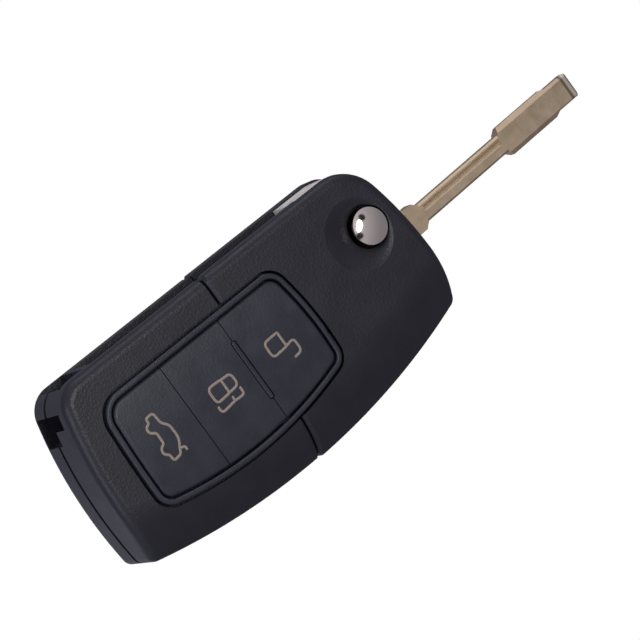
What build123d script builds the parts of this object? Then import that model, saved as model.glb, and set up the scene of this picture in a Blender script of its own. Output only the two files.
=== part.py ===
from build123d import *
import math
import os

# Flip key remote shell. X runs to the right across the fob, Y runs up it towards the blade's tip
# and Z comes out of its front face. The origin is on the flat back, under the axis the blade
# turns on. All sizes are in millimetres.

# Outline of the fob in plan
body_left = 11.2
body_width = 37.3
body_length = 74.3
top_rise = 7.85
side_radius = 131.0
side_crest_y = -31.4
top_radius = 64.0
top_crest_x = 11.5
bottom_radius = 80.0
bottom_crest_x = 12.6
corner_top_left = 8.4
corner_back_top_left = 4.8
corner_block = 6.2
corner_top_right = 2.0
corner_bottom_right = 2.0
corner_bottom_left = 5.2

# Section of the fob
body_thick = 16.5
front_round = 1.8
back_round = 1.2
crown_width = 10.5
crown_drop = 4.0
wall = 1.6
roof = 1.8
floor = 1.6
parting_z = 6.6
parting_gap = 0.3
lip_thick = 0.7
shadow_depth = 0.6
shadow_height = 0.7
lip_height = 0.9
fit_gap = 0.12
weld = 0.1
past = 1.0

# Seam between the head and the remote, which sits slightly lower all round
seam_front_y = -30.6
seam_back_y = -27.2
seam_gap = 0.35
remote_step = 0.2
seam_chamfer = 0.6
remote_chamfer = 0.3
end_wall = 1.4

# Open channel down the left side that the folded blade lies in
channel_low = 4.5
channel_high = 13.4
channel_right = 1.5
channel_end_y = -54.4
rib = 1.3
swing_radius = 14.0

# Tunnel round the lower left corner for a key ring
ring_centre_x = -11.0
ring_centre_y = -64.3
pillar_radius = 3.5
tunnel_radius = 8.6
tunnel_low = 1.4
tunnel_high = 12.6
tunnel_end_high = 8.3

# Blade carrier, which turns in the head
hub_radius = 7.0
block_drop = 8.0
block_gap = 0.3
relief_depth = 0.8
relief_height = 1.2
swing_gap = 0.3
turn_gap = 0.06
boss_radius = 6.0
boss_rise = 0.7
tube_radius = 3.3
tube_sink = 2.5
tube_play = 0.2
stem_radius = 1.9
nose_reach = 8.2
nose_side = 0.7

# Blade, uncut, with a stepped bit
blade_offset = 5.4
blade_lean = 1.5
blade_thick = 2.5
blade_middle_z = 9.3
root_width = 5.4
root_start = 3.0
root_end = 12.2
collar_slope = 0.6
collar_step = 0.35
collar_run = 0.5
shaft_width = 3.6
shoulder_y = 34.0
shoulder_slope = 0.9
shoulder_round = 0.45
bit_width = 5.9
bit_step_y = 47.6
bit_slope = 0.9
bit_bevel = 0.9
bit_bevel_depth = 0.75
tip_width = 4.95
tip_shift = 0.12
tip_y = 53.2
tip_round = 0.9
end_bevel = 0.85
shaft_bevel = 0.4
groove_width = 1.1
groove_depth = 0.42
groove_offset = 0.55
groove_start = 0.7
groove_stop = 0.5

# Roll pin through the carrier and the blade's root
pin_radius = 0.8
pin_bore = 0.45
pin_slit = 0.35
pin_length = 6.2
pin_y = 6.4
pin_gap = 0.02

# Release button and the finger dish round it
button_radius = 3.3
button_proud = 0.9
button_dome = 0.75
button_hole = 3.75
button_travel = 1.8
lug_reach = 4.9
lug_width = 2.2
lug_thick = 1.3
lug_disc = 3.5
lug_gap = 0.3
stem_length = 6.6
dish_radius = 6.5
dish_offset = 2.6
dish_depth = 1.3
dish_slope = 5.3
dish_slope_drop = 0.3
dish_ledge = 0.15
recess_rise = 1.1
lug_play = 0.15

# Small spring that lifts the button again
lift_wire = 0.35
lift_radius = 1.35
lift_turns = 4.5

# Torsion spring and the pressed cup that anchors it in the back
spring_wire = 0.9
wire_flats = 6
spring_radius = 4.45
spring_pitch = 0.98
spring_turns = 2.75
spring_leg = 1.1
cup_radius = 5.9
cup_thick = 0.5
cup_height = 1.3
cup_sink = 0.3
cup_slot = 1.3
cup_play = 0.2
spring_play = 0.05
leg_play = 0.15

# Key pad
pad_left = 5.64
pad_right = 18.4
pad_side_radius = 74.0
pad_side_y = -39.1
pad_top = -17.4
pad_top_radius = 57.2
pad_top_x = 8.8
pad_bottom = -60.3
pad_bottom_radius = 170.0
pad_bottom_x = 12.8
pad_corner_top_left = 4.0
pad_corner_top_right = 3.6
pad_corner_bottom_right = 3.8
pad_corner_bottom_left = 5.0
tray_depth = 1.9
tray_thick = 1.1
tray_ledge = 1.2
tray_wrap = 3.0
pad_gap = 0.5
bezel_width = 0.95
bezel_proud = 0.4
bezel_round = 0.4
bezel_inner_round = 0.25
crease = 0.3
key_proud = 0.3
key_thick = 1.05
key_round = 0.6
key_split = 0.15
key_travel = 0.3
split_lock_boot_y = -46.3
split_unlock_lock_y = -33.2
bar_left = 0.5
bar_length = 11.6
bar_width = 0.8
rail_width = 1.6
rail_gap = 0.05
mat_thick = 0.45
mat_gap = 0.2
dome_radius = 2.6
dome_top_radius = 1.8
dome_gap = 0.05
post_radius = 1.3
post_length = 1.6
key_x = 6.2
key_unlock_y = -25.6
key_lock_y = -39.6
key_boot_y = -52.9

# Tongue of the head inside the remote, and its two screws
tongue_left = 1.2
tongue_inset = 4.3
tongue_reach = 5.4
tongue_low = 3.3
tongue_high = 11.0
screw_inset_x = 4.0
screw_inset_y = 3.0
screw_head_radius = 1.4
screw_head_thick = 0.9
screw_radius = 0.8
screw_length = 6.0
screw_spare = 0.5
screw_slot_length = 1.7
screw_slot_width = 0.4
screw_slot_depth = 0.4

# Transponder slot in the head, with its push-in cap
chip_inset = 8.6
chip_y = -14.0
chip_width = 4.2
chip_length = 12.6
chip_floor = 2.6
chip_wall = 0.9
chip_drop = 0.5
chip_cap_thick = 0.9
chip_cap_brim = 0.4
chip_grip_length = 2.0

# Coin cell seat in the back cover, and the clip that would hold the cell
cell_radius = 10.1
cell_x = 12.0
cell_y = -50.2
cell_rim = 1.0
cell_rim_height = 2.6
clip_thick = 0.3
clip_width = 5.0
clip_length = 12.0
clip_rise = 2.2
clip_reach = 0.4
clip_gap = 0.5
stud_radius = 0.6
stud_height = 0.6

# Worked out from the sizes above
body_right = body_width - body_left
side_axis_x = body_right - side_radius
tongue_right = body_right - tongue_inset
chip_x = body_right - chip_inset
front_z = parting_z + parting_gap
tray_z = body_thick - tray_depth
tray_under_z = tray_z - tray_thick
channel_x = -channel_right
pocket_x = channel_x + rib
far = body_length + body_width
carrier_low = channel_low + swing_gap
carrier_high = channel_high - swing_gap
boss_top = carrier_high + boss_rise
recess_z = channel_high + recess_rise
lug_top = recess_z - lug_play
lug_low = lug_top - lug_thick
lug_pocket_z = lug_low - button_travel - lug_play
stem_low = lug_low - stem_length
cup_z = channel_low - cup_height - cup_sink
tube_end = carrier_low - tube_sink
tube_seat = tube_end - tube_play
spring_low = cup_z + cup_thick + spring_play
spring_high = spring_low + spring_pitch * spring_turns + spring_wire
mat_top = tray_z + mat_thick
key_top = body_thick + key_proud
key_under = key_top - key_thick
key_low = key_under - key_travel
bezel_top = body_thick + bezel_proud
chip_top = parting_z - chip_drop


def arc_plan(left, right, side_r, side_y, top, top_r, top_x, bottom, bottom_r, bottom_x, corners, inset):
    """Plan with a straight left side and three arcs, moved inwards by inset, its corners rounded."""
    side = Pos(right - side_r, side_y) * Rot(0, 0, 180) * Circle(side_r - inset)
    head = Pos(top_x, top - top_r) * Circle(top_r - inset)
    foot = Pos(bottom_x, bottom + bottom_r) * Circle(bottom_r - inset)
    keep = Pos(left + inset, side_y) * Rectangle(far, 2 * far, align=(Align.MIN, Align.CENTER))
    face = side & head & foot & keep
    along = {"tl": (-1, 1), "tr": (1, 1), "br": (1, -1), "bl": (-1, -1)}
    for name, radius in corners.items():
        sx, sy = along[name]
        vertex = face.vertices().sort_by(lambda v: sx * v.X + sy * v.Y)[-1]
        face = fillet(vertex, max(radius - inset, 0.3))
    return face


def outline(inset, top_left=corner_top_left):
    """Plan of the fob. Its top left corner is tighter on the back and on the carrier than in front."""
    corners = {
        "tl": top_left,
        "tr": corner_top_right,
        "br": corner_bottom_right,
        "bl": corner_bottom_left,
    }
    return arc_plan(
        -body_left, body_right, side_radius, side_crest_y,
        top_rise, top_radius, top_crest_x,
        top_rise - body_length, bottom_radius, bottom_crest_x, corners, inset,
    )


def pad_plan(inset):
    """Plan of the key pad."""
    corners = {
        "tl": pad_corner_top_left,
        "tr": pad_corner_top_right,
        "br": pad_corner_bottom_right,
        "bl": pad_corner_bottom_left,
    }
    return arc_plan(
        -pad_left, pad_right, pad_side_radius, pad_side_y,
        pad_top, pad_top_radius, pad_top_x,
        pad_bottom, pad_bottom_radius, pad_bottom_x, corners, inset,
    )


def prism(face, low, high):
    """The plan as a solid between two heights."""
    return extrude(Pos(0, 0, low) * face, amount=high - low)


def slab(x0, x1, y0, y1, z0, z1):
    """A box from its limits."""
    return Pos(x0, y0, z0) * Box(x1 - x0, y1 - y0, z1 - z0, align=Align.MIN)


def rod(x, y, radius, low, high):
    """An upright cylinder."""
    return Pos(x, y, low) * Cylinder(radius, high - low, align=(Align.CENTER, Align.CENTER, Align.MIN))


def crown_cutter(inset):
    """Ring above the crown, the large round by which the front falls away to the right side."""
    crown_radius = (crown_width**2 + crown_drop**2) / (2 * crown_drop)
    centre_z = body_thick - crown_radius
    radius = crown_radius - inset
    start = side_radius - crown_width
    reach = min(crown_width + 2 * past, 0.95 * radius)

    def at(run):
        return (start + run, centre_z + math.sqrt(radius**2 - run**2))

    arc = ThreePointArc(at(0), at(reach / 2), at(reach))
    high = body_thick + crown_drop
    edge = start + reach + crown_drop
    rest = Polyline(at(reach), (edge, at(reach)[1]), (edge, high), (start, high), at(0))
    profile = Plane.XZ * make_face([arc, rest])
    ring = revolve(Rot(0, 0, 180) * profile, Axis.Z)
    return Pos(side_axis_x, side_crest_y, 0) * ring


def envelope(inset, top_left):
    """The closed outer form, with its front and back edges rounded."""
    solid = prism(outline(inset, top_left), 0, body_thick - inset) - crown_cutter(inset)
    upright = solid.faces().filter_by(lambda f: abs(f.normal_at(f.center()).Z) < 0.01)
    edges = set(edge for face in upright for edge in face.edges())
    front = ShapeList(e for e in edges if e.bounding_box().min.Z > body_thick / 2)
    solid = fillet(front, front_round)
    back = ShapeList(e for e in solid.edges() if e.bounding_box().max.Z < back_round / 100)
    return fillet(back, back_round)


def above(z):
    """Everything over a height."""
    return slab(-far, far, -far, far, z, far)


def below(z):
    """Everything under a height."""
    return slab(-far, far, -far, far, -far, z)


def seam_half(inset, seam_y, side, bevel, top_left=corner_top_left):
    """The part of the envelope on one side of the seam, with the edge along the seam chamfered."""
    if side > 0:
        keep = slab(-far, far, seam_y, far, -far, far)
    else:
        keep = slab(-far, far, -far, seam_y, -far, far)
    half = envelope(inset, top_left) & keep
    edge = half.faces().sort_by(lambda f: side * f.center().Y)[0].edges()
    return chamfer(edge, bevel)


def hollow(inset, low, high):
    """Room inside the walls."""
    return prism(outline(inset), low, high) - crown_cutter(inset)


def swing_room():
    """Cylinder that the carrier turns in, and the channel for the blade below it."""
    turn = rod(0, 0, swing_radius, channel_low, channel_high)
    lane = slab(-body_left - past, channel_x, channel_end_y, 0, channel_low, channel_high)
    return turn + lane


def carrier_relief():
    """Step in the front's left wall, which bares the top of the carrier's block for the thumb."""
    low, high = channel_high - past, channel_high + relief_height
    rim = prism(outline(-past), low, high) - prism(outline(relief_depth), low - past, high + past)
    return rim & slab(-far, 0, -block_drop, far, low, high)


def ring_tunnel():
    """Curved way round the corner pillar, lower where it comes out of the end wall."""
    outer = rod(ring_centre_x, ring_centre_y, tunnel_radius, tunnel_low, tunnel_high)
    outer -= slab(-far, far, -far, ring_centre_y, tunnel_end_high, far)
    return outer - rod(ring_centre_x, ring_centre_y, pillar_radius, tunnel_low, tunnel_high)


def shadow_gap():
    """Rebate under the parting line of the remote, which widens the dark line round it."""
    high = parting_z + past
    band = prism(outline(remote_step - past), parting_z - shadow_height, high)
    return band - prism(outline(remote_step + shadow_depth), 0, high)


def head_pocket(seam_y, low, high):
    """Room in the head to the right of the carrier, with a wall round the carrier's swing."""
    room = hollow(wall, low, high)
    room = room & slab(pocket_x, far, seam_y + end_wall, far, low, high)
    return room - rod(0, 0, swing_radius + rib, low - past, high + past)


def lip(step, grow):
    """Locating lip on the back piece's rim, or with grow the rebate for it in the front piece's wall."""
    low = parting_z - weld
    high = parting_z + lip_height + grow
    ring = prism(outline(step + wall - lip_thick - grow), low, high)
    ring -= prism(outline(step + wall + grow), low - past, high + past)
    ring -= rod(0, 0, swing_radius + rib, low - past, high + past)
    return ring & slab(pocket_x + rib, far, -far, far, low, high)


def head_side(part):
    """What of the part lies in the head, past the thickness of its end wall."""
    return part & slab(-far, far, seam_front_y + end_wall, far, 0, far)


def remote_side(part):
    """What of the part lies in the remote, as far below the seam."""
    return part & slab(-far, far, -far, seam_front_y - end_wall, 0, far)


def chip_box(grow, low, high):
    """The transponder's slot, grown sideways by a wall or a clearance."""
    return slab(
        chip_x - chip_width / 2 - grow, chip_x + chip_width / 2 + grow,
        chip_y - chip_length / 2 - grow, chip_y + chip_length / 2 + grow, low, high,
    )


def screw_places():
    """Where the two screws stand in the tongue."""
    y = seam_front_y - screw_inset_y
    return [(tongue_left + screw_inset_x, y), (tongue_right - screw_inset_x, y)]


def dish():
    """Finger dish, whose mouth lies lower down the fob than the button and runs out softly."""
    seat = Pos(0, 0, body_thick - dish_depth) * Circle(button_hole - dish_ledge)
    share = (dish_depth - dish_slope_drop) / dish_depth
    slope = Pos(0, -dish_offset * share, body_thick - dish_slope_drop) * Circle(dish_slope)
    mouth = Pos(0, -dish_offset, body_thick) * Circle(dish_radius)
    return loft([seat.face(), slope.face(), mouth.face()])


def head_front_shell():
    """Front half of the head, with the dish, the button's hole and the tongue under the remote."""
    shell = seam_half(0, seam_front_y, 1, seam_chamfer) & above(front_z)
    shell -= head_pocket(seam_front_y, parting_z, body_thick - roof)
    shell -= head_side(lip(0, fit_gap))
    shell -= swing_room()
    shell -= carrier_relief()
    shell -= rod(0, 0, boss_radius + turn_gap, channel_high - past, recess_z)
    shell -= rod(0, 0, button_hole, channel_high, body_thick + past)
    shell -= dish()
    shell -= prism(pad_plan(0), tray_under_z - fit_gap, body_thick + past)
    end_y = seam_front_y - tongue_reach
    tongue = slab(tongue_left, tongue_right, end_y, seam_front_y + end_wall, parting_z, tongue_high)
    for x, y in screw_places():
        tongue -= rod(x, y, screw_radius + fit_gap, 0, body_thick)
        tongue -= rod(x, y, screw_head_radius + fit_gap, tongue_high - screw_head_thick, body_thick)
    return shell + tongue


def head_back_shell():
    """Back half of the head, with the seats of the spring's cup, the carrier and the transponder."""
    shell = seam_half(0, seam_back_y, 1, remote_chamfer, corner_back_top_left) & below(parting_z)
    shell -= head_pocket(seam_back_y, floor, parting_z + past)
    shell -= swing_room()
    shell -= rod(0, 0, cup_radius + fit_gap, cup_z, parting_z)
    shell -= rod(0, 0, tube_radius + turn_gap, tube_seat, parting_z)
    shell += lip(0, 0) & slab(-far, far, seam_back_y + end_wall, far, 0, far)
    shell += chip_box(chip_wall, floor, chip_top) - chip_box(0, chip_floor, parting_z)
    end_y = seam_front_y - tongue_reach
    shell += slab(tongue_left, tongue_right, end_y, seam_back_y + end_wall, tongue_low, parting_z)
    for x, y in screw_places():
        shell -= rod(x, y, screw_radius + pin_gap, tongue_high - screw_length - screw_spare, far)
    return shell


def remote_room(low, high):
    """Room in the remote for its board, to the right of the blade channel."""
    room = hollow(remote_step + wall, low, high)
    return room & slab(pocket_x, far, -far, seam_back_y + past, low, high)


def remote_front_cover():
    """Front half of the remote, with the tray that the key pad lies in."""
    cover = seam_half(remote_step, seam_front_y - seam_gap, -1, remote_chamfer) & above(front_z)
    cover -= swing_room()
    cover -= ring_tunnel()
    cover -= remote_side(lip(remote_step, fit_gap))
    cover -= prism(pad_plan(0), tray_z, body_thick + past)
    cover -= remote_room(parting_z, tray_under_z)
    cover -= remote_room(parting_z, body_thick - roof) - prism(pad_plan(-tray_ledge), parting_z, body_thick)
    reach = slab(-far, far, seam_front_y - tray_wrap, far, tray_under_z, tray_z)
    cover += prism(pad_plan(pad_gap / 2), tray_under_z, tray_z) & reach
    for y in (key_unlock_y, key_lock_y, key_boot_y):
        cover -= rod(key_x, y, post_radius + fit_gap, tray_under_z - past, tray_z + past)
    return cover


def remote_back_cover():
    """Back half of the remote, with the rim of the coin cell's seat."""
    cover = seam_half(remote_step, seam_back_y - seam_gap, -1, remote_chamfer) & below(parting_z)
    cover -= swing_room()
    cover -= ring_tunnel()
    cover -= remote_room(floor, parting_z + past)
    cover -= shadow_gap()
    cover += remote_side(lip(remote_step, 0))
    rim = rod(cell_x, cell_y, cell_radius + cell_rim, floor, floor + cell_rim_height)
    rim -= rod(cell_x, cell_y, cell_radius, floor, parting_z)
    half = clip_width / 2 + clip_gap
    rim -= slab(cell_x - half, cell_x + half, cell_y, far, floor, parting_z)
    rim = rim & hollow(remote_step + wall - weld, floor, parting_z)
    cover += rim
    for dy in (-clip_length / 4, clip_length / 4):
        cover += rod(cell_x, cell_y + dy, stud_radius, floor - weld, floor + stud_height)
    return cover


def pad_bezel():
    """Rim round the keys, with a rail across it that carries the short raised bar."""
    outer = prism(pad_plan(pad_gap), tray_z, bezel_top)
    inner = prism(pad_plan(pad_gap + bezel_width), tray_z - past, bezel_top + past)
    outer = fillet(outer.edges().group_by(Axis.Z)[-1], bezel_round)
    rim = outer - inner
    face = rim.faces().filter_by(Axis.Z).sort_by(Axis.Z)[-1]
    rim = fillet(face.inner_wires()[0].edges(), bezel_inner_round)
    low_y = split_unlock_lock_y - rail_width / 2
    rail = slab(-far, far, low_y, low_y + rail_width, mat_top, key_low - rail_gap)
    rail = rail & prism(pad_plan(pad_gap + bezel_width / 2), tray_z, bezel_top)
    bar = Pos(bar_left + bar_length / 2, split_unlock_lock_y) * SlotOverall(bar_length, bar_width)
    bar = prism(bar, mat_top, bezel_top)
    bar = fillet(bar.edges().group_by(Axis.Z)[-1], bar_width / 4)
    return rim + rail + bar


def key_plates():
    """The three keys, cut from one plate along the two splits."""
    plan = pad_plan(pad_gap + bezel_width + crease)
    plate = prism(plan, key_under, key_top)
    plate = fillet(plate.edges().group_by(Axis.Z)[-1], key_round)
    half = key_split / 2
    room = Pos(bar_left + bar_length / 2, split_unlock_lock_y)
    room = room * SlotOverall(bar_length + 2 * key_split, bar_width + 2 * key_split)
    plate -= prism(room, 0, far)
    boot = plate & slab(-far, far, -far, split_lock_boot_y - half, 0, far)
    lock = plate & slab(-far, far, split_lock_boot_y + half, split_unlock_lock_y - half, 0, far)
    unlock = plate & slab(-far, far, split_unlock_lock_y + half, far, 0, far)
    return unlock, lock, boot


def key_mat():
    """Silicone mat on the tray, with a dome under each key and a post through the tray."""
    mat = prism(pad_plan(pad_gap + bezel_width + mat_gap), tray_z, mat_top)
    rise = key_low - dome_gap - mat_top
    standing = (Align.CENTER, Align.CENTER, Align.MIN)
    for y in (key_unlock_y, key_lock_y, key_boot_y):
        mat += Pos(key_x, y, mat_top) * Cone(dome_radius, dome_top_radius, rise, align=standing)
        mat += rod(key_x, y, post_radius, tray_z - post_length, tray_z + weld)
    return mat


def lug_cross(grow, low, high):
    """Disc with four lugs."""
    size = 2 * (lug_reach + grow)
    width = lug_width + 2 * grow
    cross = Rectangle(size, width) + Rectangle(width, size) + Circle(lug_disc + grow)
    return prism(cross & Circle(lug_reach + grow), low, high)


def release_button():
    """Chromed cap with a low dome, four lugs and a stem in the carrier."""
    cap_top = body_thick + button_proud
    ball = (button_radius**2 + button_dome**2) / (2 * button_dome)
    cap = rod(0, 0, button_radius, lug_low, cap_top) & (Pos(0, 0, cap_top - ball) * Sphere(ball))
    stem = rod(0, 0, stem_radius, stem_low, lug_low + weld)
    return cap + lug_cross(0, lug_low, lug_top) + stem


def blade_turn():
    """The blade's own frame, which leans slightly off the fob's length when open."""
    return Rot(0, 0, blade_lean)


def blade_carrier():
    """Cast hub: a block flush with the fob's side, a nose that grips the blade, and a bearing tube."""
    block = slab(-body_left, 0, -block_drop, body_length, carrier_low, carrier_high)
    body = rod(0, 0, hub_radius, carrier_low, carrier_high) + block
    body = body & prism(outline(block_gap, corner_block), carrier_low, carrier_high)
    body = body & rod(0, 0, swing_radius - swing_gap, 0, far)
    half = root_width / 2 + nose_side
    nose = slab(blade_offset - half, blade_offset + half, 0, nose_reach, carrier_low, carrier_high)
    body += blade_turn() * nose
    body += rod(0, 0, boss_radius, carrier_high - weld, boss_top)
    ring = rod(0, 0, spring_radius + spring_wire, 0, spring_high + leg_play)
    body -= ring - rod(0, 0, tube_radius, 0, far)
    body += rod(0, 0, tube_radius, tube_end, carrier_low + weld)
    body -= rod(0, 0, stem_radius + turn_gap, 0, far)
    body -= lug_cross(lug_gap, lug_pocket_z, far)
    body -= blade_turn() * blade_slot()
    body -= blade_turn() * rod(blade_offset, pin_y, pin_radius + pin_gap, carrier_high - pin_length, far)
    leg_top = spring_high + spring_leg + leg_play
    return body - rod(spring_radius, 0, spring_wire / 2 + leg_play, carrier_low, leg_top)


def blade_slot():
    """Slot in the carrier for the blade's root, with half of the usual clearance on each side."""
    gap = fit_gap / 2
    half = root_width / 2 + gap
    low = blade_middle_z - blade_thick / 2 - gap
    high = blade_middle_z + blade_thick / 2 + gap
    return slab(blade_offset - half, blade_offset + half, root_start - gap, far, low, high)


def bevelled_bar(half, cut, depth, start, end):
    """Bar along the blade with its four long edges cut off, cut across the flat and depth down the side."""
    side = [(half - cut, blade_thick / 2), (half, blade_thick / 2 - depth)]
    lower = [(x, -z) for x, z in reversed(side)]
    left = [(-x, z) for x, z in reversed(side + lower)]
    across = Plane(origin=(0, start, blade_middle_z), x_dir=(1, 0, 0), z_dir=(0, -1, 0))
    section = across * make_face(Polyline(*side, *lower, *left, close=True))
    return extrude(section, amount=end - start, dir=(0, 1, 0))


def blade_plan():
    """Flat outline of the blade about its middle line."""
    root, shaft, bit, tip = root_width / 2, shaft_width / 2, bit_width / 2, tip_width / 2
    right = [
        (root, root_start),
        (root, root_end - collar_slope),
        (shaft + collar_step, root_end),
        (shaft, root_end + collar_run),
        (shaft, shoulder_y),
        (bit, shoulder_y + shoulder_slope),
        (bit, bit_step_y - bit_slope),
    ]
    left = [(-x, y) for x, y in reversed(right)]
    end = [(tip, bit_step_y), (tip, tip_y), (-tip, tip_y), (-tip, bit_step_y)]
    end = [(x - tip_shift, y) for x, y in end]
    plan = make_face(Polyline(*right, *end, *left, close=True))
    shoulders = plan.vertices().filter_by(lambda v: abs(v.X) > bit - tip_shift / 2)
    plan = fillet(shoulders.filter_by(lambda v: v.Y > root_end), shoulder_round)
    return fillet(plan.vertices().group_by(Axis.Y)[-1], tip_round)


def shaft_groove(x, z, side, start):
    """V-shaped groove along one face of the shaft."""
    across = Plane(origin=(x, start, z), x_dir=(1, 0, 0), z_dir=(0, -1, 0))
    mouth = groove_width / 2
    section = Polyline((-mouth, 0), (0, -side * groove_depth), (mouth, 0), close=True)
    return extrude(across * make_face(section), amount=shoulder_y - groove_stop - start, dir=(0, 1, 0))


def key_blade():
    """Uncut blade: root, grooved shaft, wide bit with bevelled edges, and a narrower tip."""
    shaft_y = root_end + collar_run
    low = blade_middle_z - blade_thick / 2
    blade = prism(blade_plan(), low, low + blade_thick)
    root = bevelled_bar(root_width, shaft_bevel, shaft_bevel, root_start, shaft_y)
    shaft = bevelled_bar(shaft_width / 2, shaft_bevel, shaft_bevel, shaft_y, shoulder_y)
    bit = bevelled_bar(bit_width / 2, bit_bevel, bit_bevel_depth, shoulder_y, tip_y)
    blade = blade & (root + shaft + bit)
    for side in (1, -1):
        z = blade_middle_z + side * blade_thick / 2
        blade -= shaft_groove(-side * groove_offset, z, side, shaft_y + groove_start)
        corner = Polyline((tip_y, z), (tip_y - end_bevel, z), (tip_y, z - side * end_bevel), close=True)
        blade -= extrude(Plane.YZ * make_face(corner), amount=bit_width, both=True)
    blade = Pos(blade_offset, 0, 0) * blade
    blade -= rod(blade_offset, pin_y, pin_radius + pin_gap, 0, far)
    return blade_turn() * blade


def blade_pin():
    """Slit roll pin."""
    top = carrier_high
    pin = rod(0, 0, pin_radius, top - pin_length, top) - rod(0, 0, pin_bore, 0, far)
    pin -= slab(0, far, -pin_slit / 2, pin_slit / 2, 0, far)
    return blade_turn() * Pos(blade_offset, pin_y, 0) * pin


def wire_coil(helix, wire):
    """Wire wound along a helix, with a few flats for its round section."""
    section = Plane(origin=helix @ 0, z_dir=helix % 0) * RegularPolygon(wire / 2, wire_flats)
    return sweep(section, path=helix)


def flip_spring():
    """Torsion spring with a leg up into the carrier and a leg out through the cup's slot."""
    helix = Helix(spring_pitch, spring_pitch * spring_turns, spring_radius)
    coil = wire_coil(helix, spring_wire)
    end_angle = 360 * spring_turns
    reach = cup_radius - spring_radius - weld
    foot = Pos(spring_radius, 0, 0) * Rot(0, 90, 0) * Cylinder(
        spring_wire / 2, reach, align=(Align.CENTER, Align.CENTER, Align.MIN)
    )
    leg = rod(spring_radius, 0, spring_wire / 2, 0, spring_leg + spring_wire / 2)
    leg = Rot(0, 0, end_angle) * Pos(0, 0, spring_pitch * spring_turns) * leg
    return Rot(0, 0, -end_angle) * Pos(0, 0, spring_low + spring_wire / 2) * (coil + foot + leg)


def button_spring():
    """Small open coil in the carrier's tube, between the back shell and the button's stem."""
    height = stem_low - tube_seat - lift_wire
    helix = Helix(height / lift_turns, height, lift_radius)
    return Pos(0, 0, tube_seat + lift_wire / 2) * wire_coil(helix, lift_wire)


def spring_anchor_cup():
    """Pressed cup in the back shell, slotted for the spring's lower leg."""
    cup = rod(0, 0, cup_radius, cup_z, cup_z + cup_height)
    cup -= rod(0, 0, cup_radius - cup_thick, cup_z + cup_thick, far)
    cup -= rod(0, 0, tube_radius + cup_play, 0, far)
    slot = slab(0, far, -cup_slot / 2, cup_slot / 2, cup_z + cup_thick, far)
    return cup - Rot(0, 0, -360 * spring_turns) * slot


def head_screw(x, y):
    """Pan head screw with a cross recess."""
    top = tongue_high
    head = rod(x, y, screw_head_radius, top - screw_head_thick, top)
    shank = rod(x, y, screw_radius, top - screw_length, top)
    slot = Rectangle(screw_slot_length, screw_slot_width)
    cross = Pos(x, y) * (slot + Rot(0, 0, 90) * slot)
    return head + shank - prism(cross, top - screw_slot_depth, top + past)


def transponder_cap():
    """Cap pressed into the mouth of the transponder slot."""
    plug = chip_box(-pin_gap, chip_top - chip_cap_thick, chip_top)
    brim = chip_box(chip_wall / 2, chip_top, chip_top + chip_cap_brim)
    grip = Pos(chip_x, chip_y) * Rectangle(chip_width / 2, chip_grip_length)
    return plug + brim - prism(grip, chip_top - chip_cap_thick / 2, far)


def battery_clip():
    """Sprung strip on the cell seat's floor, with a finger turned up at the rim."""
    left = cell_x - clip_width / 2
    right = cell_x + clip_width / 2
    end_y = cell_y + cell_radius + clip_reach
    strip = slab(left, right, cell_y - clip_length / 2, end_y, floor, floor + clip_thick)
    clip = strip + slab(left, right, end_y - clip_thick, end_y, floor, floor + clip_rise)
    for dy in (-clip_length / 4, clip_length / 4):
        clip -= rod(cell_x, cell_y + dy, stud_radius + pin_gap, 0, far)
    return clip


def main():
    """Make each piece and write it to its own file."""
    unlock, lock, boot = key_plates()
    nodes = {
        "head_front_shell": head_front_shell(),
        "head_back_shell": head_back_shell(),
        "remote_front_cover": remote_front_cover(),
        "remote_back_cover": remote_back_cover(),
        "pad_bezel": pad_bezel(),
        "key_unlock": unlock,
        "key_lock": lock,
        "key_boot": boot,
        "key_mat": key_mat(),
        "release_button": release_button(),
        "blade_carrier": blade_carrier(),
        "key_blade": key_blade(),
        "blade_pin": blade_pin(),
        "flip_spring": flip_spring(),
        "button_spring": button_spring(),
        "spring_anchor_cup": spring_anchor_cup(),
        "transponder_cap": transponder_cap(),
        "battery_clip": battery_clip(),
    }
    for side, (x, y) in zip(("left", "right"), screw_places()):
        nodes["head_screw_" + side] = head_screw(x, y)
    os.makedirs("parts", exist_ok=True)
    for name, solid in nodes.items():
        export_step(solid, "parts/" + name + ".step")


main()
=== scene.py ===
import math

import bpy
import numpy as np
from mathutils import Matrix, Quaternion, Vector


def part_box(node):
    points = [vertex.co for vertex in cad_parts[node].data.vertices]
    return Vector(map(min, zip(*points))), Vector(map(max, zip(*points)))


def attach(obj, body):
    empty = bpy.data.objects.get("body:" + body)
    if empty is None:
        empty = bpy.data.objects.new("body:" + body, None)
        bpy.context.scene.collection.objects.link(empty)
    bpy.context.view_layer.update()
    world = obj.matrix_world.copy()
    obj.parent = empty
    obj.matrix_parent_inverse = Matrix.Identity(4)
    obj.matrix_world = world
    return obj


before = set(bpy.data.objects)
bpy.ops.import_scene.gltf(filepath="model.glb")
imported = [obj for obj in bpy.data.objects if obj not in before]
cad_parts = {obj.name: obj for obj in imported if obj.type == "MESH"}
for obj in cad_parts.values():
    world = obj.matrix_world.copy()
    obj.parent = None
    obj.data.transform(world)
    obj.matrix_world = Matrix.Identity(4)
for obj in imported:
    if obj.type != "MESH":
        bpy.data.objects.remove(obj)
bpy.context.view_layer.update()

# Housing: four halves of black ABS, injection moulded in tools with a fine spark-eroded grain that leaves
# them matte. The head halves are held by screws, and the remote covers clip together on their lips. The real
# grain is a few hundredths of a millimetre, too fine to show, and is drawn coarser.
MM = 0.001
SHELL_BLACK = "1b1a22"
SHELL_BLACK_WORN = "1f1e27"
SHELL_GRAIN = 0.42 * MM
SHELL_PITS = 0.055 * MM
SHELL_CLOUDS = 5.0 * MM
SHELL_GLOSS = 0.42
GLOSS_SWING = 0.04
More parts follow.
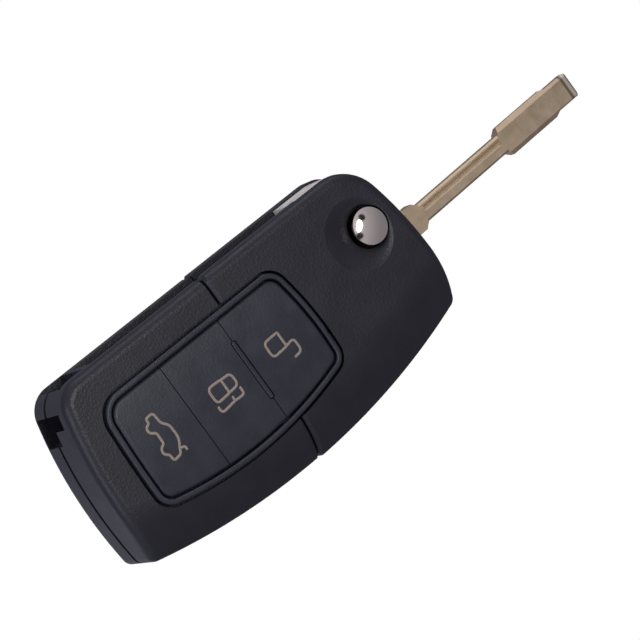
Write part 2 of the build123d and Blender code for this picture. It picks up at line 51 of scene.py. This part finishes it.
PLASTIC_IOR = 1.53
NOISE_LOW = 0.3
NOISE_HIGH = 0.7
PATCHY_LOW = 0.35
PATCHY_HIGH = 0.65


def linear(code):
    """sRGB hex colour as linear light. Each channel c becomes c / 12.92 up to 0.04045, and
    ((c + 0.055) / 1.055) ** 2.4 above it."""
    channels = np.array([int(code[i:i + 2], 16) for i in (0, 2, 4)]) / 255
    curve = ((channels + 0.055) / 1.055) ** 2.4
    return (*np.where(channels <= 0.04045, channels / 12.92, curve).tolist(), 1.0)


def add(tree, kind, inputs=None, **settings):
    """Adds a node with its settings. Each named input gets a value, or a link from a socket or from a node's
    first enabled output."""
    new = tree.nodes.new(kind)
    for name, value in settings.items():
        setattr(new, name, value)
    for name, value in (inputs or {}).items():
        if isinstance(value, bpy.types.Node):
            value = next(socket for socket in value.outputs if socket.enabled)
        if isinstance(value, bpy.types.NodeSocket):
            tree.links.new(value, new.inputs[name])
        else:
            new.inputs[name].default_value = value
    return new


def blank_material(name):
    """Empty material. Returns it with its node tree and its Object coordinates."""
    material = bpy.data.materials.new(name)
    material.use_nodes = True
    tree = material.node_tree
    tree.nodes.clear()
    return material, tree, add(tree, "ShaderNodeTexCoord").outputs["Object"]


def moulded_plastic(name, dark, light, grain, depth, clouds, rough, middle=0.0, camber=0.0):
    """Matte moulded plastic: an even dark colour, a fine pitted grain, and slightly cloudy gloss. With camber
    the face falls away by camber * (x - middle) ** 2 to its left and right."""
    material, tree, where = blank_material(name)
    cloud = add(tree, "ShaderNodeTexNoise", {"Vector": where, "Scale": 1 / clouds, "Detail": 3.0})
    pits = add(tree, "ShaderNodeTexNoise", {"Vector": where, "Scale": 1 / grain, "Detail": 2.0})
    worn = add(tree, "ShaderNodeMapRange", {"Value": cloud, "From Min": PATCHY_LOW, "From Max": PATCHY_HIGH})
    colour = add(tree, "ShaderNodeMix", {"Factor": worn, "A": linear(dark), "B": linear(light)},
                 data_type="RGBA")
    gloss = add(tree, "ShaderNodeMapRange", {"Value": cloud, "From Min": NOISE_LOW, "From Max": NOISE_HIGH,
                                             "To Min": rough - GLOSS_SWING, "To Max": rough + GLOSS_SWING})
    relief = {"Height": pits, "Strength": 1.0, "Distance": depth}
    if camber:
        across = add(tree, "ShaderNodeSeparateXYZ", {"Vector": where}).outputs["X"]
        offset = add(tree, "ShaderNodeMath", {0: across, 1: middle}, operation="SUBTRACT")
        square = add(tree, "ShaderNodeMath", {0: offset, 1: offset}, operation="MULTIPLY")
        sink = add(tree, "ShaderNodeMath", {0: square, 1: -camber}, operation="MULTIPLY")
        relief["Normal"] = add(tree, "ShaderNodeBump", {"Height": sink, "Strength": 1.0, "Distance": 1.0})
    bump = add(tree, "ShaderNodeBump", relief)
    shader = add(tree, "ShaderNodeBsdfPrincipled", {"Base Color": colour, "Roughness": gloss, "Normal": bump,
                                                    "IOR": PLASTIC_IOR})
    add(tree, "ShaderNodeOutputMaterial", {"Surface": shader})
    return material


def dress(material, *nodes):
    """Gives CAD nodes this material in their first slot."""
    for name in nodes:
        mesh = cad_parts[name].data
        mesh.materials.clear()
        mesh.materials.append(material)


shell = moulded_plastic("moulded_black_abs", SHELL_BLACK, SHELL_BLACK_WORN, SHELL_GRAIN, SHELL_PITS,
                        SHELL_CLOUDS, SHELL_GLOSS)
dress(shell, "head_front_shell", "head_back_shell", "remote_front_cover", "remote_back_cover",
      "transponder_cap")

# Key pad: a rim and three keys in a blue-black plastic, softer and more satin than the housing, again with
# its grain drawn coarser. The keys stand in the rim on a silicone mat, and only the mat gives way when one
# is pressed. Their tops are very slightly crowned from side to side.
PAD_BLACK = "282933"
PAD_BLACK_LIGHT = "2e2f39"
PAD_GRAIN = 0.34 * MM
PAD_PITS = 0.03 * MM
PAD_CLOUDS = 4.0 * MM
PAD_GLOSS = 0.36
KEYS_MIDDLE = 6.4 * MM
KEYS_CAMBER = 3.6
MAT_GREY = "2c2c2e"
MAT_GREY_LIGHT = "323234"
MAT_GRAIN = 0.3 * MM
MAT_PITS = 0.01 * MM
MAT_GLOSS = 0.6
rim = moulded_plastic("satin_pad_rim", PAD_BLACK, PAD_BLACK_LIGHT, PAD_GRAIN, PAD_PITS, PAD_CLOUDS, PAD_GLOSS)
keys = moulded_plastic("satin_keys", PAD_BLACK, PAD_BLACK_LIGHT, PAD_GRAIN, PAD_PITS, PAD_CLOUDS, PAD_GLOSS,
                       KEYS_MIDDLE, KEYS_CAMBER)
mat = moulded_plastic("silicone_mat", MAT_GREY, MAT_GREY_LIGHT, MAT_GRAIN, MAT_PITS, PAD_CLOUDS, MAT_GLOSS)
dress(rim, "pad_bezel")
dress(keys, "key_unlock", "key_lock", "key_boot")
dress(mat, "key_mat")

# Pictograms: an open padlock, a double padlock and a car with its boot open, printed on the keys in a
# champagne ink that stands up as a low bead. The mica in it is drawn coarser than real.
INK = "9c8d7e"
INK_PALE = "a89888"
INK_MICA = 0.4 * MM
INK_GLOSS = 0.45
INK_METAL = 0.1
LINE_WIDTH = 0.46 * MM
LINE_HEIGHT = 0.035 * MM
LINE_STEP = 0.06 * MM
LINE_FEWEST_POINTS = 8
LINE_SIDES = 12
LINE_TIP = 0.002
CORNER_STEPS = 7


def rounded(points, radii, closed):
    """Path in mm with its corners rounded. Each corner P becomes a quadratic arc from P + r(prev - P) to
    P + r(next - P), with unit directions. An open path keeps its ends."""
    corner = np.array(points, float)
    before = np.roll(corner, 1, axis=0) - corner
    after = np.roll(corner, -1, axis=0) - corner
    radius = np.broadcast_to(np.asarray(radii, float), len(corner))[:, None]
    start = corner + radius * before / np.linalg.norm(before, axis=1, keepdims=True)
    end = corner + radius * after / np.linalg.norm(after, axis=1, keepdims=True)
    t = np.linspace(0, 1, CORNER_STEPS)[None, :, None]
    arcs = (1 - t) ** 2 * start[:, None] + 2 * t * (1 - t) * corner[:, None] + t ** 2 * end[:, None]
    if closed:
        return arcs.reshape(-1, 2)
    return np.vstack([corner[:1], arcs[1:-1].reshape(-1, 2), corner[-1:]])


def even(path, closed, step):
    """The same path with points at an even distance along it, read off by its length up to each point."""
    if closed:
        path = np.vstack([path, path[:1]])
    along = np.concatenate([[0], np.cumsum(np.linalg.norm(np.diff(path, axis=0), axis=1))])
    count = max(int(along[-1] / step), LINE_FEWEST_POINTS)
    at = np.linspace(0, along[-1], count, endpoint=not closed)
    return np.stack([np.interp(at, along, path[:, i]) for i in (0, 1)], axis=1)


def bead(path, closed, width, height, base):
    """Flat tube along a path in the plane: point + normal * (width / 2) cos a, and base + height * sin a.
    On an open path its size falls as a half circle to a tiny cap at both ends. Returns points and faces."""
    if closed:
        run = np.roll(path, -1, axis=0) - np.roll(path, 1, axis=0)
        size = np.ones(len(path))
    else:
        run = np.gradient(path, axis=0)
        along = np.concatenate([[0], np.cumsum(np.linalg.norm(np.diff(path, axis=0), axis=1))])
        near = np.minimum(along, along[-1] - along) / (width / 2)
        size = np.sqrt(np.clip(1 - (1 - np.clip(near, 0, 1)) ** 2, LINE_TIP, 1))
    run /= np.linalg.norm(run, axis=1, keepdims=True)
    normal = np.stack([-run[:, 1], run[:, 0]], axis=1)
    a = np.linspace(0, 2 * np.pi, LINE_SIDES, endpoint=False)
    side = path[:, None] + normal[:, None] * (size[:, None] * width / 2 * np.cos(a))[:, :, None]
    high = base + size[:, None] * height * np.sin(a)
    points = np.concatenate([side, high[:, :, None]], axis=2).reshape(-1, 3)
    rows = np.arange(len(path) if closed else len(path) - 1)
    i, j = np.meshgrid(rows, np.arange(LINE_SIDES), indexing="ij")
    here = i * LINE_SIDES
    ahead = (i + 1) % len(path) * LINE_SIDES
    turn = (j + 1) % LINE_SIDES
    faces = np.stack([here + j, here + turn, ahead + turn, ahead + j], axis=2).reshape(-1, 4).tolist()
    if not closed:
        last = (len(path) - 1) * LINE_SIDES
        faces += [list(range(LINE_SIDES))[::-1], list(range(last, last + LINE_SIDES))]
    return points, faces


def mesh_piece(name, shells, material, body):
    """One object from several closed shells of points and faces, riding on a CAD body."""
    points = np.vstack([p for p, _ in shells])
    offsets = np.cumsum([0] + [len(p) for p, _ in shells])
    faces = [[v + start for v in face] for (_, shell_faces), start in zip(shells, offsets)
             for face in shell_faces]
    mesh = bpy.data.meshes.new(name)
    mesh.from_pydata(points.tolist(), [], faces)
    mesh.polygons.foreach_set("use_smooth", np.ones(len(faces), bool))
    mesh.materials.append(material)
    piece = bpy.data.objects.new(name, mesh)
    bpy.context.scene.collection.objects.link(piece)
    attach(piece, body)


def printed_ink():
    """Champagne pad-printing ink: satin, with fine mica that varies its colour a little."""
    material, tree, where = blank_material("champagne_ink")
    flake = add(tree, "ShaderNodeTexNoise", {"Vector": where, "Scale": 1 / INK_MICA})
    pale = add(tree, "ShaderNodeMapRange", {"Value": flake, "From Min": PATCHY_LOW, "From Max": PATCHY_HIGH})
    colour = add(tree, "ShaderNodeMix", {"Factor": pale, "A": linear(INK), "B": linear(INK_PALE)},
                 data_type="RGBA")
    shader = add(tree, "ShaderNodeBsdfPrincipled", {"Base Color": colour, "Roughness": INK_GLOSS,
                                                    "Metallic": INK_METAL})
    add(tree, "ShaderNodeOutputMaterial", {"Surface": shader})
    return material


def pictogram(name, strokes, key, body):
    """Beads of ink on a key's top for each stroke, given in mm as points, corner radii and closed or open."""
    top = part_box(key)[1].z
    shells = []
    for points, radii, closed in strokes:
        path = even(rounded(points, radii, closed) * MM, closed, LINE_STEP)
        shells.append(bead(path, closed, LINE_WIDTH, LINE_HEIGHT, top))
    mesh_piece(name, shells, ink, body)


ink = printed_ink()
open_padlock = [
    ([(4.0, -25.75), (6.85, -25.75), (7.02, -28.9), (4.05, -28.9)], [0.15, 0.15, 0.9, 0.95], True),
    ([(6.8, -25.8), (6.5, -23.95), (9.05, -23.9), (9.2, -25.7)], [0.8, 0.8, 0.9, 0.8], False),
]
double_padlock = [
    ([(4.15, -38.9), (6.8, -38.9), (7.0, -41.8), (4.0, -41.8)], [0.25, 0.25, 0.9, 1.0], True),
    ([(4.22, -38.9), (4.3, -36.82), (6.65, -36.8), (6.77, -38.9)], [0.9, 0.9, 0.9, 0.9], False),
    ([(7.35, -42.05), (8.7, -42.0), (8.42, -38.95), (7.5, -38.9)], [0.7, 0.7, 0.15, 0.7], False),
    ([(8.42, -39.0), (8.55, -36.85), (7.05, -36.85)], [0.7, 0.7, 0.7], False),
]
car_boot_open = [
    ([(1.3, -51.9), (3.4, -51.75), (4.6, -50.75), (7.2, -50.7), (8.6, -51.65), (9.5, -52.1), (9.65, -53.7),
      (8.45, -53.75), (7.7, -54.6), (6.75, -54.3), (6.4, -53.45), (4.3, -53.35), (3.6, -54.4), (2.6, -54.35),
      (2.25, -53.45), (1.35, -53.5)],
     [0.55, 0.5, 0.6, 1.0, 0.4, 0.4, 0.45, 0.35, 0.5, 0.45, 0.4, 0.4, 0.5, 0.45, 0.3, 0.5], True),
    ([(8.6, -51.65), (8.95, -50.75), (9.7, -50.75)], [0.3, 0.25, 0.3], False),
]
pictogram("print_open_padlock", open_padlock, "key_unlock", "unlock_unit")
pictogram("print_double_padlock", double_padlock, "key_lock", "lock_unit")
pictogram("print_car_boot", car_boot_open, "key_boot", "boot_unit")

# Release button: a turned brass cap with lugs, polished and chrome plated. It rides up and down in the
# carrier on a small spring. Below the cap its lugs carry a near-black painted shade for the dark pocket round
# the button.
CHROME = "f6e8de"
# Painted shade: the near-black colour of the lugs below the cap, standing in for the shade in their pocket.
LUG_PAINTED_SHADE = "1c1a19"
CAP_FOOT = 16.05 * MM
PAINTED_SHADE_TOP = 15.75 * MM
HAZE_CLOUDS = 1.2 * MM
CHROME_GLOSS = 0.06
CHROME_GLOSS_HAZY = 0.13


def chrome_plate():
    """Bright chrome plate on a polished cap: a mirror with the faint haze of handling, with a near-black
    painted shade below the cap."""
    material, tree, where = blank_material("chrome_plate")
    haze = add(tree, "ShaderNodeTexNoise", {"Vector": where, "Scale": 1 / HAZE_CLOUDS, "Detail": 4.0})
    gloss = add(tree, "ShaderNodeMapRange", {"Value": haze, "From Min": PATCHY_LOW, "From Max": NOISE_HIGH,
                                             "To Min": CHROME_GLOSS, "To Max": CHROME_GLOSS_HAZY})
    height = add(tree, "ShaderNodeSeparateXYZ", {"Vector": where}).outputs["Z"]
    # Painted shade: by height, the colour fades from chrome to near black below the cap.
    out_of_shade = add(tree, "ShaderNodeMapRange", {"Value": height, "From Min": PAINTED_SHADE_TOP, "From Max": CAP_FOOT})
    colour = add(tree, "ShaderNodeMix", {"Factor": out_of_shade, "A": linear(LUG_PAINTED_SHADE), "B": linear(CHROME)},
                 data_type="RGBA")
    shader = add(tree, "ShaderNodeBsdfPrincipled", {"Base Color": colour, "Metallic": 1.0,
                                                    "Roughness": gloss})
    add(tree, "ShaderNodeOutputMaterial", {"Surface": shader})
    return material


dress(chrome_plate(), "release_button")

# Blade carrier: a zinc die casting, tumbled and left bare. It turns in the head on its tube and boss, and its
# dull silver side shows in the left opening.
ZINC = "ece5e1"
ZINC_DARK = "dad3cf"
ZINC_CLOUDS = 2.5 * MM
ZINC_GRAIN = 0.25 * MM
ZINC_PITS = 0.02 * MM
ZINC_BUMP = 0.3
ZINC_METAL = 0.3
ZINC_GLOSS = 0.34
ZINC_GLOSS_DULL = 0.5


def cast_zinc():
    """Tumbled zinc casting: dull silver with soft clouds, fine pits and a satin gloss. Its oxide skin
    scatters most of the light, so it is only partly metallic. The pits are drawn coarser than real."""
    material, tree, where = blank_material("tumbled_zinc_casting")
    cloud = add(tree, "ShaderNodeTexNoise", {"Vector": where, "Scale": 1 / ZINC_CLOUDS, "Detail": 5.0})
    pits = add(tree, "ShaderNodeTexNoise", {"Vector": where, "Scale": 1 / ZINC_GRAIN, "Detail": 3.0})
    pale = add(tree, "ShaderNodeMapRange", {"Value": cloud, "From Min": NOISE_LOW, "From Max": NOISE_HIGH})
    colour = add(tree, "ShaderNodeMix", {"Factor": pale, "A": linear(ZINC_DARK), "B": linear(ZINC)},
                 data_type="RGBA")
    gloss = add(tree, "ShaderNodeMapRange", {"Value": cloud, "From Min": NOISE_LOW, "From Max": NOISE_HIGH,
                                             "To Min": ZINC_GLOSS, "To Max": ZINC_GLOSS_DULL})
    bump = add(tree, "ShaderNodeBump", {"Height": pits, "Strength": ZINC_BUMP, "Distance": ZINC_PITS})
    shader = add(tree, "ShaderNodeBsdfPrincipled", {"Base Color": colour, "Metallic": ZINC_METAL,
                                                    "Roughness": gloss, "Normal": bump})
    add(tree, "ShaderNodeOutputMaterial", {"Surface": shader})
    return material


dress(cast_zinc(), "blade_carrier")

# Blade: nickel silver strip, milled to its stepped outline, its bevels and its groove. It is uncut, so all
# the faces still carry the cutter's lines, drawn coarser than real. It leans by LEAN from the Y axis, and the
# distances below are measured across it, through it and along it.
BLADE = "e3ccae"
BLADE_DARK = "cfb898"
BLADE_CLOUDS = 3.0 * MM
BLADE_GLOSS = 0.44
BLADE_GLOSS_DULL = 0.54
CUTTER_LINES = 0.15 * MM
CUTTER_SWAY = 1.5
CUTTER_BUMP = 0.04
CUTTER_DEPTH = 0.002 * MM
WAVES_PER_METRE = 20 / math.tau
LEAN = math.radians(1.5)
BLADE_LINE = 5.4 * MM
BLADE_MIDDLE = 9.3 * MM
BLADE_HALF = 1.25 * MM
GROOVE_SIDE = 0.55 * MM
GROOVE_HALF = 0.55 * MM
GROOVE_EDGE = 0.9 * GROOVE_HALF
GROOVE_DEPTH = 0.42 * MM
GROOVE_LOW = BLADE_HALF - 0.7 * GROOVE_DEPTH
# Painted highlight: a paler colour laid into the groove to lift the shade on its flanks.
GROOVE_PAINTED_HIGHLIGHT = "e2cdb0"
# Painted shade and highlight near the end: a dark line at END_LINE and paler metal past it, in place of the
# end bevel's shading.
END_LINE = 51.4 * MM
END_LINE_HALF = 0.45 * MM
END_LINE_CORE = END_LINE_HALF / 4
END_PAINTED_SHADE = "8a7964"
END_PAINTED_HIGHLIGHT = "e2d6c6"


def milled_nickel_silver():
    """Milled nickel silver: warm champagne metal with fine lines across the blade and a satin gloss. A
    painted highlight makes it paler in the groove, and near the blade's end a dark line of painted shade is
    followed by paler metal as a painted highlight. The wave texture runs as sin(20 * scale * y), which makes
    WAVES_PER_METRE waves in a metre at scale 1."""
    material, tree, where = blank_material("milled_nickel_silver")
    lines = add(tree, "ShaderNodeTexWave", {"Vector": where, "Distortion": CUTTER_SWAY, "Detail": 2.0,
                                            "Scale": 1 / (CUTTER_LINES * WAVES_PER_METRE)},
                bands_direction="Y")
    cloud = add(tree, "ShaderNodeTexNoise", {"Vector": where, "Scale": 1 / BLADE_CLOUDS, "Detail": 4.0})
    pale = add(tree, "ShaderNodeMapRange", {"Value": cloud, "From Min": NOISE_LOW, "From Max": NOISE_HIGH})
    colour = add(tree, "ShaderNodeMix", {"Factor": pale, "A": linear(BLADE_DARK), "B": linear(BLADE)},
                 data_type="RGBA")
    over = (math.cos(LEAN), math.sin(LEAN), 0.0)
    height = add(tree, "ShaderNodeSeparateXYZ", {"Vector": where}).outputs["Z"]
    height = add(tree, "ShaderNodeMath", {0: height, 1: BLADE_MIDDLE}, operation="SUBTRACT")
    face = add(tree, "ShaderNodeMath", {0: height}, operation="SIGN")
    height = add(tree, "ShaderNodeMath", {0: height}, operation="ABSOLUTE")
    side = add(tree, "ShaderNodeVectorMath", {0: where, 1: over}, operation="DOT_PRODUCT")
    side = add(tree, "ShaderNodeMath", {0: side, 1: BLADE_LINE}, operation="SUBTRACT")
    side = add(tree, "ShaderNodeMath", {0: side, 1: face, 2: GROOVE_SIDE}, operation="MULTIPLY_ADD")
    side = add(tree, "ShaderNodeMath", {0: side}, operation="ABSOLUTE")
    inside = add(tree, "ShaderNodeMapRange", {"Value": side, "From Min": GROOVE_EDGE, "From Max": GROOVE_HALF,
                                              "To Min": 1.0, "To Max": 0.0})
    deep = add(tree, "ShaderNodeMapRange", {"Value": height, "From Min": GROOVE_LOW, "From Max": BLADE_HALF,
                                            "To Min": 1.0, "To Max": 0.0})
    # Painted highlight in the groove: where the groove is deep enough, the colour turns pale.
    groove = add(tree, "ShaderNodeMath", {0: inside, 1: deep}, operation="MULTIPLY")
    colour = add(tree, "ShaderNodeMix", {"Factor": groove, "A": colour, "B": linear(GROOVE_PAINTED_HIGHLIGHT)},
                 data_type="RGBA")
    along = (-math.sin(LEAN), math.cos(LEAN), 0.0)
    # Painted shade line across the blade near its end, with a painted highlight past it.
    run = add(tree, "ShaderNodeVectorMath", {0: where, 1: along}, operation="DOT_PRODUCT")
    off = add(tree, "ShaderNodeMath", {0: run, 1: END_LINE}, operation="SUBTRACT")
    beyond = add(tree, "ShaderNodeMapRange", {"Value": off, "From Min": 0.0, "From Max": END_LINE_HALF})
    painted_tip = add(tree, "ShaderNodeMix", {"Factor": beyond, "A": colour, "B": linear(END_PAINTED_HIGHLIGHT)},
              data_type="RGBA")
    off = add(tree, "ShaderNodeMath", {0: off}, operation="ABSOLUTE")
    clear = add(tree, "ShaderNodeMapRange", {"Value": off, "From Min": END_LINE_CORE,
                                             "From Max": END_LINE_HALF})
    colour = add(tree, "ShaderNodeMix", {"Factor": clear, "A": linear(END_PAINTED_SHADE), "B": painted_tip},
                 data_type="RGBA")
    gloss = add(tree, "ShaderNodeMapRange", {"Value": cloud, "From Min": NOISE_LOW, "From Max": NOISE_HIGH,
                                             "To Min": BLADE_GLOSS, "To Max": BLADE_GLOSS_DULL})
    bump = add(tree, "ShaderNodeBump", {"Height": lines.outputs["Fac"], "Strength": CUTTER_BUMP,
                                        "Distance": CUTTER_DEPTH})
    shader = add(tree, "ShaderNodeBsdfPrincipled", {"Base Color": colour, "Metallic": 1.0,
                                                    "Roughness": gloss, "Normal": bump})
    add(tree, "ShaderNodeOutputMaterial", {"Surface": shader})
    return material


dress(milled_nickel_silver(), "key_blade")

# Springs, pin, cup, clip and screws: drawn and pressed steel, left bright. They swing the blade, lift its
# button, carry the cell's contact and hold the head's halves together, and hardly show from outside.
STEEL = "b4b4b6"
STEEL_CLOUDS = 0.8 * MM
STEEL_GLOSS = 0.22
STEEL_GLOSS_DULL = 0.36


def drawn_steel():
    """Bright drawn steel: cool grey metal with a light, uneven polish."""
    material, tree, where = blank_material("bright_drawn_steel")
    cloud = add(tree, "ShaderNodeTexNoise", {"Vector": where, "Scale": 1 / STEEL_CLOUDS, "Detail": 3.0})
    gloss = add(tree, "ShaderNodeMapRange", {"Value": cloud, "From Min": NOISE_LOW, "From Max": NOISE_HIGH,
                                             "To Min": STEEL_GLOSS, "To Max": STEEL_GLOSS_DULL})
    shader = add(tree, "ShaderNodeBsdfPrincipled", {"Base Color": linear(STEEL), "Metallic": 1.0,
                                                    "Roughness": gloss})
    add(tree, "ShaderNodeOutputMaterial", {"Surface": shader})
    return material


dress(drawn_steel(), "blade_pin", "flip_spring", "button_spring", "spring_anchor_cup", "battery_clip",
      "head_screw_left", "head_screw_right")

# Table: a white light table a hair under the fob. It shows as plain white, and it is kept out of the
# reflections, so the low walls of the fob stay dark as they are in the photo.
TABLE_HALF = 0.8
TABLE_TOP = -0.05 * MM
TABLE_WHITE = "ffffff"


def light_table():
    """Opal sheet lit evenly from below."""
    material, tree, _ = blank_material("opal_light_table")
    glow = add(tree, "ShaderNodeEmission", {"Color": linear(TABLE_WHITE), "Strength": 1.0})
    add(tree, "ShaderNodeOutputMaterial", {"Surface": glow})
    return material


table_mesh = bpy.data.meshes.new("table")
table_corners = [(x * TABLE_HALF, y * TABLE_HALF, TABLE_TOP) for x, y in ((-1, -1), (1, -1), (1, 1), (-1, 1))]
table_mesh.from_pydata(table_corners, [], [(0, 1, 2, 3)])
table_mesh.materials.append(light_table())
table = bpy.data.objects.new("table", table_mesh)
table.visible_glossy = False
bpy.context.scene.collection.objects.link(table)

# Light: a grey studio, dark near the floor and lighter on the side that the picture's left shows, with a long
# softbox low at the left, one past the lower end, and a small strip nearly overhead for the button's spot.
STUDIO_RAMP = [
    (0.0, "6c6c76"), (0.3, "6e6e78"), (0.44, "7c7c86"), (0.5, "9494a0"), (0.78, "9c9ca4"), (1.0, "a2a2aa"),
]
BRIGHT_SIDE = (-0.63, -0.775, 0.0)
SLOPE_START = -0.75
SLOPE_END = 0.35
DIM_LEVEL = 0.62
BRIGHT_LEVEL = 1.36
LEFT_BOOM_END = ((-0.392, 0.293, 0.872), 10, 7, 0.05)
RIGHT_BOOM_END = ((0.186, -0.285, 0.940), 10, 7, 0.05)
TABLE_GLOW = ((0.5, -0.3, -0.81), 32, 14, 2.5)
FOB_MIDDLE = Vector((8.0, -14.0, 8.0)) * MM


def studio():
    """Radiance by direction: a ramp from floor to ceiling, times a slope from side to side, times three round
    patches, the two dark ends of the lamp's boom and a bright part of the table. A patch has its direction,
    the angles in degrees from it at which it starts and is full, and its level."""
    world = bpy.data.worlds.new("studio")
    world.use_nodes = True
    tree = world.node_tree
    tree.nodes.clear()
    look = add(tree, "ShaderNodeTexCoord").outputs["Generated"]
    height = add(tree, "ShaderNodeSeparateXYZ", {"Vector": look}).outputs["Z"]
    place = add(tree, "ShaderNodeMapRange", {"Value": height, "From Min": -1.0, "From Max": 1.0})
    ramp = add(tree, "ShaderNodeValToRGB", {"Fac": place})
    stops = ramp.color_ramp.elements
    for position, _ in STUDIO_RAMP[1:-1]:
        stops.new(position)
    for stop, (_, code) in zip(stops, STUDIO_RAMP):
        stop.color = linear(code)
    side = add(tree, "ShaderNodeVectorMath", {0: look, 1: BRIGHT_SIDE}, operation="DOT_PRODUCT")
    level = add(tree, "ShaderNodeMapRange", {"Value": side, "From Min": SLOPE_START, "From Max": SLOPE_END,
                                             "To Min": DIM_LEVEL, "To Max": BRIGHT_LEVEL})
    for middle, outer, inner, strength in (LEFT_BOOM_END, RIGHT_BOOM_END, TABLE_GLOW):
        near = add(tree, "ShaderNodeVectorMath", {0: look, 1: middle}, operation="DOT_PRODUCT")
        patch = add(tree, "ShaderNodeMapRange", {"Value": near, "From Min": math.cos(math.radians(outer)),
                                                 "From Max": math.cos(math.radians(inner)),
                                                 "To Min": 1.0, "To Max": strength})
        level = add(tree, "ShaderNodeMath", {0: level, 1: patch}, operation="MULTIPLY")
    back = add(tree, "ShaderNodeBackground", {"Color": ramp, "Strength": level})
    add(tree, "ShaderNodeOutputWorld", {"Surface": back})
    return world


def softbox(name, shape, tint, heading, elevation, distance, width, height, roll, power):
    """Area light that faces the fob. Heading is in degrees anticlockwise from +X, elevation in degrees above
    the table, and roll turns it about the line to the fob."""
    light = bpy.data.lights.new(name, "AREA")
    light.shape = shape
    light.size = width
    light.size_y = height
    light.energy = power
    light.color = linear(tint)[:3]
    lamp = bpy.data.objects.new(name, light)
    h = math.radians(heading)
    e = math.radians(elevation)
    away = Vector((math.cos(h) * math.cos(e), math.sin(h) * math.cos(e), math.sin(e)))
    lamp.location = FOB_MIDDLE + away * distance
    facing = away.to_track_quat("Z", "Y") @ Quaternion((0, 0, 1), math.radians(roll))
    lamp.rotation_euler = facing.to_euler()
    bpy.context.scene.collection.objects.link(lamp)


bpy.context.scene.world = studio()
softbox("left_softbox", "RECTANGLE", tint="f4f6ff", heading=158, elevation=7.5, distance=0.9,
        width=0.7, height=0.2, roll=0, power=0.95)
softbox("end_softbox", "RECTANGLE", tint="e6eaff", heading=262, elevation=24, distance=0.9,
        width=0.5, height=0.2, roll=0, power=1.2)
softbox("top_strip", "ELLIPSE", tint="ffffff", heading=188, elevation=77.9, distance=0.36,
        width=0.09, height=0.2, roll=125, power=0.3)

# Camera: a long lens that looks down on the fob from its lower left, turned about its own axis until the fob
# lies across the picture as in the photo. Heading is the turn from +Y towards +X.
PHOTO_PIXELS = 640
FOCAL_PIXELS = 2500
AIM = Vector((8.456, -14.219, 8.25)) * MM
DISTANCE = 430.69 * MM
HEADING = math.radians(20.666)
PITCH = math.radians(64.62)
ROLL = math.radians(73.166)
ahead = Vector((math.sin(HEADING) * math.cos(PITCH), math.cos(HEADING) * math.cos(PITCH), -math.sin(PITCH)))
level = ahead.cross(Vector((0, 0, 1))).normalized()
upright = level.cross(ahead)
right = level * math.cos(ROLL) + upright * math.sin(ROLL)
up = right.cross(ahead)
camera_data = bpy.data.cameras.new("camera")
camera_data.lens = camera_data.sensor_width * FOCAL_PIXELS / PHOTO_PIXELS
camera = bpy.data.objects.new("camera", camera_data)
turn = Matrix((right, up, -ahead)).transposed()
camera.matrix_world = Matrix.Translation(AIM - ahead * DISTANCE) @ turn.to_4x4()
bpy.context.scene.collection.objects.link(camera)
bpy.context.scene.camera = camera
bpy.context.scene.view_settings.view_transform = "Standard"
